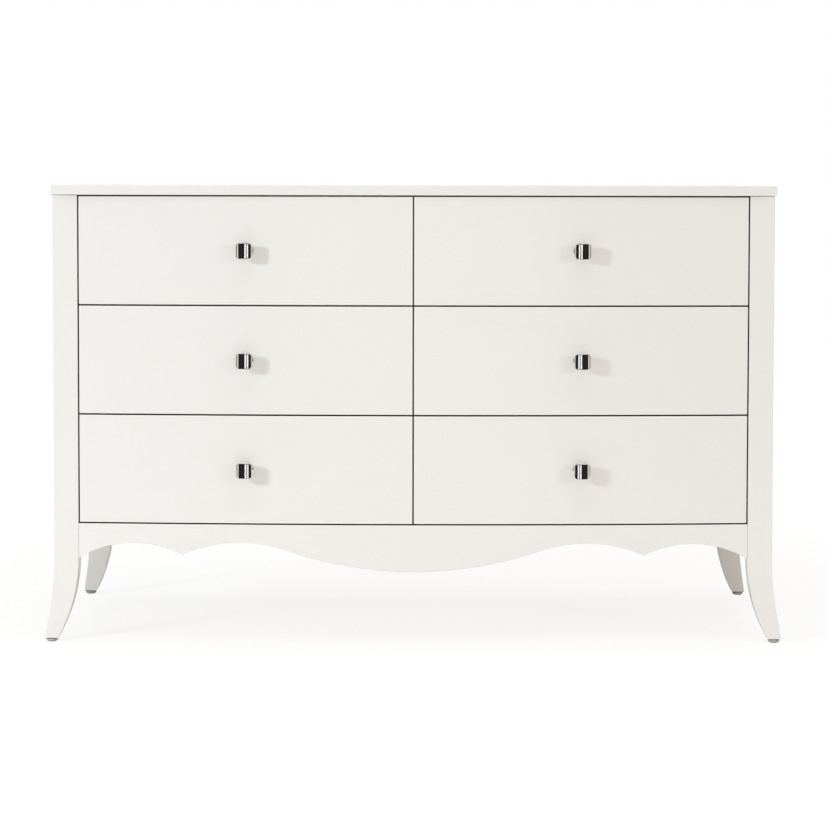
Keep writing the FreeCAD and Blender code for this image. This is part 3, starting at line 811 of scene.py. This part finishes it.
def makePartition():
    # notched in its upper edge for the front top rail
    low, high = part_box("center_partition")
    railLow, railHigh = looseParts("top_rails")[0]
    outline = [(low.y, low.z), (high.y, low.z), (high.y, high.z), (railHigh.y, high.z),
               (railHigh.y, railLow.z), (railLow.y, railLow.z), (railLow.y, high.z), (low.y, high.z)]
    mesh = rings("partitionMesh", [[(x, y, z) for y, z in outline] for x in (low.x, high.x)])
    piece = addPiece("middle_partition", mesh, partitionShadeLacquer, "case",
                     ["center_partition"])
    roundEdges(piece, boardSet["railEdge"], 2)


makePartition()
recoat("case_floor", caseWood)
recoat("corner_blocks", packingWood)
recoat("cabinet_slides", zincPlate)
print("case ready")


screwSet = {
    "headShare": 0.55,       # head height as a share of the head's radius
    "shankShare": 0.5,
    "seatedBelow": 0.00005,
}


def screwsFor(nodeName, pieceName, body):
    # each screw is found from its solid: its long way is its axis, and its head faces the open side
    kinds = {}
    for low, high in looseParts(nodeName):
        size = high - low
        axis = max(range(3), key=lambda i: size[i])
        length = size[axis]
        width = min(size[i] for i in range(3) if i != axis)
        centre = (low + high) / 2
        aim = Vector((0, 0, 0))
        if axis == 0:
            inner = body != "case"
            partitionSide = abs(centre.x) < openingHalf / 2
            towards = -1 if partitionSide == inner else 1
            aim.x = towards * math.copysign(1, centre.x)
        elif axis == 1:
            aim.y = 1
        else:
            aim.z = -1
        face = centre + aim * (length / 2)
        kinds.setdefault((round(width / 2, 5), round(length, 4)), []).append((face, aim))
    meshes = []
    for (radius, length), places in kinds.items():
        headHeight = radius * screwSet["headShare"]
        seats = [face - aim * (headHeight + screwSet["seatedBelow"]) for face, aim in places]
        meshes.append(runTree(
            pieceName + "Part", pointMesh("screwPoints", seats, [aim for _, aim in places]),
            crossHeadScrews,
            {"Head Radius": radius, "Head Height": headHeight,
             "Shank Radius": radius * screwSet["shankShare"],
             "Shank Length": length - headHeight, "Material": zincPlate}))
    mesh = joinMeshes(pieceName + "Mesh", meshes)
    mesh.shade_flat()
    addPiece(pieceName, mesh, zincPlate, body, [nodeName])


screwsFor("case_screws", "case_cross_screws", "case")
print("case screws ready")


drawerSet = {
    "frontEdge": 0.0013,
    "easedBy": 0.0003,       # sanding and lacquer line all round the front
    "frontColumns": 40,
    "wall": 0.013,
    "wallEdge": 0.0022,
    "boardClearance": 0.0002,
}


def makeFront(key):
    low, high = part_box("drawer_front_" + key)
    thickness = caseSet["frontThickness"]
    ease = drawerSet["easedBy"]
    bottom, top = low.z + ease, high.z - ease
    columns = [(x, [(0.0, bottom), (thickness, bottom), (thickness, top), (0.0, top)])
               for x in spread(low.x + ease, high.x - ease, drawerSet["frontColumns"])]
    mesh = bent(f"frontMesh_{key}", columnsMesh("frontFlat", columns), whiteLacquer)
    piece = addPiece("bowed_front_" + key, mesh, None, "drawer_" + key,
                     ["drawer_front_" + key])
    # painted highlight on the front's rolled edges, given through the paler edge material
    roundEdges(piece, drawerSet["frontEdge"], 3, edgeMaterial=edgeHighlightLacquer)


def makeWalls(key):
    # two sides that meet the curved back of the front, and the back board between them
    low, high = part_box("drawer_box_" + key)
    wall = drawerSet["wall"]
    meshes = []
    for x0, x1 in ((low.x, low.x + wall), (high.x - wall, high.x)):
        y0, y1 = [bowY(x, caseSet["frontThickness"]) for x in (x0, x1)]
        meshes.append(rings("drawerSide", [[(x0, y0, z), (x1, y1, z), (x1, high.y, z), (x0, high.y, z)]
                                           for z in (low.z, high.z)]))
    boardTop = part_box("drawer_board_" + key)[1].z
    backLow = boardTop + drawerSet["boardClearance"]
    meshes.append(boxMesh("drawerBack", (low.x + wall, high.y - wall, backLow),
                          (high.x - wall, high.y, high.z)))
    sideFaces = len(meshes[0].polygons) * 2
    mesh = joinMeshes(f"wallMesh_{key}", meshes)
    mesh.materials.append(drawerSideWood)
    mesh.materials.append(drawerBackWood)
    for face in mesh.polygons:
        face.material_index = 0 if face.index < sideFaces else 1
    piece = addPiece("drawer_walls_" + key, mesh, None, "drawer_" + key,
                     ["drawer_box_" + key])
    roundEdges(piece, drawerSet["wallEdge"], 3)
    recoat("drawer_board_" + key, drawerBoardWood)


knobSet = {
    "size": 0.032,
    "corner": 0.0065,
    "crown": 0.003,          # how far the middle of the face stands ahead of its left and right edges
    "headThickness": 0.012,
    "rim": 0.0011,
    # the head's rear edge: (inset a side, corner drawn in, ahead of the rear plane)
    "rearEdge": [(0.0017, 0.0012, 0.0004), (0.0005, 0.0004, 0.0016), (0.0, 0.0, 0.0032)],
    "neckRadius": 0.0065,
    "neckFlare": 0.0105,     # where the neck meets the head
    "coveStart": 0.0006,     # the base sweeps in to the neck over this stretch, ahead of the base
    "coveEnd": 0.0068,
    "baseThickness": 0.0024,
    # the base's edge: (share of the base's thickness, drawn in)
    "baseEdge": [(0.0, 0.0), (0.55, 0.0), (0.85, 0.0005), (1.0, 0.0014)],
    "baseShoulder": 0.0022,
    "faceRings": [0.93, 0.82, 0.66, 0.48, 0.30, 0.12],
    "clearance": 0.00005,
}


def roundedSquare(size, corner, cornerSteps=9, sideSteps=5):
    # (x, z) points round a square, from its right-hand side
    points = []
    half = size / 2 - corner
    centres = [(half, half), (-half, half), (-half, -half), (half, -half)]
    for quarter, (cx, cz) in enumerate(centres):
        start = quarter * math.pi / 2
        for a in spread(start, start + math.pi / 2, cornerSteps):
            points.append((cx + corner * math.cos(a), cz + corner * math.sin(a)))
        x, z = points[-1]
        nextX, nextZ = centres[(quarter + 1) % 4]
        for t in spread(0.0, 1.0, sideSteps)[1:-1]:
            points.append((x + (nextX - cx) * t, z + (nextZ - cz) * t))
    return points


def knobLoops(projection, baseRadius):
    # loops of (across, ahead of the drawer face, up), from the drawer to the middle of the face
    s = knobSet
    bearings = [math.atan2(z, x) for x, z in roundedSquare(s["size"], s["corner"])]

    def circle(radius, ahead):
        return [(radius * math.cos(a), ahead, radius * math.sin(a)) for a in bearings]

    def crownAhead(x):
        radius = ((s["size"] / 2) ** 2 + s["crown"] ** 2) / (2 * s["crown"])
        return projection - (radius - math.sqrt(radius ** 2 - x * x))

    def inset(amount, back):
        shape = roundedSquare(s["size"] - 2 * amount, max(s["corner"] - amount, 0.001))
        return [(x, crownAhead(x) - back, z) for x, z in shape]

    rearPlane = projection - s["headThickness"]
    base, rim, neck = s["baseThickness"], s["rim"], s["neckRadius"]
    loops = [circle(baseRadius - drawnIn, base * share) for share, drawnIn in s["baseEdge"]]
    coveStart, coveEnd = base + s["coveStart"], base + s["coveEnd"]
    for t in spread(0.0, 1.0, 8)[1:]:
        radius = neck + (baseRadius - s["baseShoulder"] - neck) * (1 - math.sin(t * math.pi / 2))
        loops.append(circle(radius, coveStart + (coveEnd - coveStart) * t))
    for t in spread(0.0, 1.0, 6)[1:]:
        radius = neck + (s["neckFlare"] - neck) * (1 - math.cos(t * math.pi / 2))
        loops.append(circle(radius, coveEnd + (rearPlane - coveEnd) * t))
    for drawnIn, cornerIn, ahead in s["rearEdge"]:
        shape = roundedSquare(s["size"] - 2 * drawnIn, s["corner"] - cornerIn)
        loops.append([(x, rearPlane + ahead, z) for x, z in shape])
    for a in spread(0.0, math.pi / 2, 5):
        loops.append(inset(rim * (1 - math.cos(a)), rim * (1 - math.sin(a))))
    core = inset(rim, 0.0)
    for size in s["faceRings"]:
        loops.append([(x * size, crownAhead(x * size), z * size) for x, _, z in core])
    return loops


def makeKnob(key):
    low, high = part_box("drawer_knob_" + key)
    frontLow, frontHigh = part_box("drawer_front_" + key)
    knobX = (frontLow.x + frontHigh.x) / 2
    middle = (low.z + high.z) / 2
    reach = (Vector((knobX, low.y, 0)) - Vector((0, bowCentreY, 0))).length - bowRadius
    loops = [[aroundBow((x, bowCentreY - bowRadius - ahead, z + middle), knobX) for x, ahead, z in loop]
             for loop in knobLoops(reach - knobSet["clearance"], (high.z - low.z) / 2)]
    addPiece("square_knob_" + key, rings(f"knobMesh_{key}", loops), polishedChrome, "drawer_" + key,
             ["drawer_knob_" + key])


for row in ("upper", "middle", "lower"):
    for column in ("left", "right"):
        key = f"{row}_{column}"
        makeFront(key)
        makeWalls(key)
        makeKnob(key)
        screwsFor("drawer_screws_" + key, "drawer_cross_screws_" + key, "drawer_" + key)
        recoat("drawer_slides_" + key, zincPlate)
        recoat("ball_cages_" + key, bearingSteel)
print("drawers ready")


floorSet = {
    "halfWidth": 7.0,
    "front": -1.75,
    "back": 8.0,
    "tone": (0.92, 0.92, 0.915, 1),
    "glow": 1.05,
    "fadeStart": 1.1,        # from here out to fadeEnd the floor runs into plain white
    "fadeEnd": 2.4,
    "glowShareNear": 0.80,
}


def makeFloor():
    mesh = bpy.data.meshes.new("floorMesh")
    w, near, far = floorSet["halfWidth"], floorSet["front"], floorSet["back"]
    mesh.from_pydata([(-w, near, 0), (w, near, 0), (w, far, 0), (-w, far, 0)], [], [(0, 1, 2, 3)])
    floor = bpy.data.objects.new("floor", mesh)
    scene.collection.objects.link(floor)
    material = bpy.data.materials.new("paleSweep")
    material.use_nodes = True
    tree = material.node_tree
    principled = tree.nodes["Principled BSDF"]
    setInputs(principled, **{"Base Color": floorSet["tone"], "Roughness": 0.9, "Specular IOR Level": 0.1})
    glow = addNode(tree, "ShaderNodeEmission")
    setInputs(glow, Color=(1, 1, 1, 1), Strength=floorSet["glow"])
    blend = addNode(tree, "ShaderNodeMixShader")
    path = addNode(tree, "ShaderNodeLightPath")
    place = addNode(tree, "ShaderNodeTexCoord")
    distance = addNode(tree, "ShaderNodeVectorMath", operation="LENGTH")
    tree.links.new(place.outputs["Object"], distance.inputs[0])
    glowShare = mapRange(tree, distance.outputs["Value"], floorSet["fadeStart"], floorSet["fadeEnd"],
                         floorSet["glowShareNear"], 1.0)
    share = doMath(tree, "MULTIPLY", path.outputs["Is Camera Ray"], glowShare)
    tree.links.new(share, blend.inputs[0])
    tree.links.new(principled.outputs[0], blend.inputs[1])
    tree.links.new(glow.outputs[0], blend.inputs[2])
    tree.links.new(blend.outputs[0], tree.nodes["Material Output"].inputs["Surface"])
    mesh.materials.append(material)


worldSet = {
    "front": 0.52,           # strength of the soft light from ahead of the piece, and from behind it
    "rear": 0.38,
    "softColor": (1.0, 0.945, 0.89, 1),
    # what polished metal shows: (degrees away from straight ahead, brightness)
    "glossBands": [(0.0, 0.024), (35.5, 0.024), (37.0, 0.9), (41.0, 0.9), (43.0, 0.25), (58.0, 0.3),
                   (75.0, 0.75), (180.0, 0.85)],
    "ceiling": (0.85, 0.85, 0.84, 1),
}


def makeWorld():
    # white to the camera, even soft light on matt surfaces, dark studio with bright bands in gloss
    world = bpy.data.worlds.new("studio")
    scene.world = world
    world.use_nodes = True
    tree = world.node_tree
    links = tree.links
    tree.nodes.clear()
    output = addNode(tree, "ShaderNodeOutputWorld")
    path = addNode(tree, "ShaderNodeLightPath")
    place = addNode(tree, "ShaderNodeTexCoord")
    split = addNode(tree, "ShaderNodeSeparateXYZ")
    links.new(place.outputs["Generated"], split.inputs[0])
    ahead = doMath(tree, "MULTIPLY", split.outputs["Y"], -1.0)
    azimuth = doMath(tree, "ABSOLUTE", doMath(tree, "ARCTAN2", split.outputs["X"], ahead))
    ramp = addNode(tree, "ShaderNodeValToRGB")
    links.new(doMath(tree, "DIVIDE", azimuth, math.pi), ramp.inputs[0])
    elements = ramp.color_ramp.elements
    while len(elements) < len(worldSet["glossBands"]):
        elements.new(0.5)
    for element, (angle, level) in zip(elements, worldSet["glossBands"]):
        element.position = angle / 180.0
        element.color = (level, level * 0.93, level * 0.86, 1)
    height = mapRange(tree, split.outputs["Z"], 0.30, 0.62, 0.0, 1.0)
    gloss = mixColor(tree, height, ramp.outputs["Color"], worldSet["ceiling"])
    glossy = addNode(tree, "ShaderNodeBackground")
    links.new(gloss, glossy.inputs["Color"])
    soft = setInputs(addNode(tree, "ShaderNodeBackground"), Color=worldSet["softColor"])
    links.new(mapRange(tree, ahead, -0.3, 1.0, worldSet["rear"], worldSet["front"]),
              soft.inputs["Strength"])
    white = setInputs(addNode(tree, "ShaderNodeBackground"), Color=(1, 1, 1, 1), Strength=1.0)
    first = addNode(tree, "ShaderNodeMixShader")
    second = addNode(tree, "ShaderNodeMixShader")
    links.new(path.outputs["Is Glossy Ray"], first.inputs[0])
    links.new(soft.outputs[0], first.inputs[1])
    links.new(glossy.outputs[0], first.inputs[2])
    links.new(path.outputs["Is Camera Ray"], second.inputs[0])
    links.new(first.outputs[0], second.inputs[1])
    links.new(white.outputs[0], second.inputs[2])
    links.new(second.outputs[0], output.inputs["Surface"])


lightSet = {
    # name: place, what it aims at, size, power, color
    "lowSoft": ((0.3, -4.0, 0.2), (0, 0, 0.2), 1.2, 5.5, (1.0, 0.945, 0.90)),
    "frontSoft": ((1.2, -4.6, 2.0), (0, 0, 0.6), 2.2, 7.5, (1.0, 0.945, 0.90)),
    "keyLight": ((-4.45, -3.25, 2.1), (0, 0, 0.5), 0.75, 116.0, (0.88, 0.98, 1.06)),
    "fillLight": ((4.2, -3.3, 1.6), (0, 0, 0.5), 0.7, 34.0, (1.0, 0.98, 0.96)),
    "overhead": ((0, -0.4, 3.6), (0, -0.2, 0), 3.2, 66.0, (1.0, 0.975, 0.95)),
}
screenSet = {
    # screens that show only in polished metal, two a side at each knob's mirrored height
    "ahead": 3.2,
    "heights": (0.69, 0.32, -0.05),
    "kinds": ((0.16, 0.10, 0.085), (0.38, 0.16, 0.155)),     # off centre, width, power
    "tall": 0.17,
    "color": (1, 0.985, 0.96),
}


def areaLight(name, place, target, size, power, color):
    data = bpy.data.lights.new(name, "AREA")
    data.energy = power
    data.color = color
    data.size = size
    light = bpy.data.objects.new(name, data)
    scene.collection.objects.link(light)
    light.location = place
    light.rotation_mode = "QUATERNION"
    light.rotation_quaternion = (Vector(target) - Vector(place)).to_track_quat("-Z", "Y")
    light.visible_camera = False
    light.visible_glossy = False
    return light


def makeLights():
    for name, settings in lightSet.items():
        areaLight(name, *settings)
    for side in (-1, 1):
        for height in screenSet["heights"]:
            for offset, width, power in screenSet["kinds"]:
                screen = areaLight(
                    f"screen{side}_{offset}_{height}", (side * offset, -screenSet["ahead"], height),
                    (side * offset, 0, height), width, power, screenSet["color"])
                screen.data.shape = "RECTANGLE"
                screen.data.size_y = screenSet["tall"]
                screen.visible_glossy = True
                screen.visible_diffuse = False


cameraSet = {
    "place": (0.0255, -4.475, 0.919),
    "tilt": 2.434,        # degrees below level
    "roll": 0.112,
    "lens": 92.57,
    "shiftX": -0.01486,
    "shiftY": -0.1693,
}


def makeCamera():
    data = bpy.data.cameras.new("camera")
    data.sensor_width = 36.0
    data.lens = cameraSet["lens"]
    data.shift_x = cameraSet["shiftX"]
    data.shift_y = cameraSet["shiftY"]
    camera = bpy.data.objects.new("camera", data)
    scene.collection.objects.link(camera)
    tilt = Matrix.Rotation(math.radians(90 - cameraSet["tilt"]), 4, "X")
    roll = Matrix.Rotation(math.radians(cameraSet["roll"]), 4, "Z")
    camera.matrix_world = Matrix.Translation(cameraSet["place"]) @ tilt @ roll
    scene.camera = camera


makeFloor()
makeWorld()
makeLights()
makeCamera()
scene.view_settings.view_transform = "Standard"
print("studio ready")
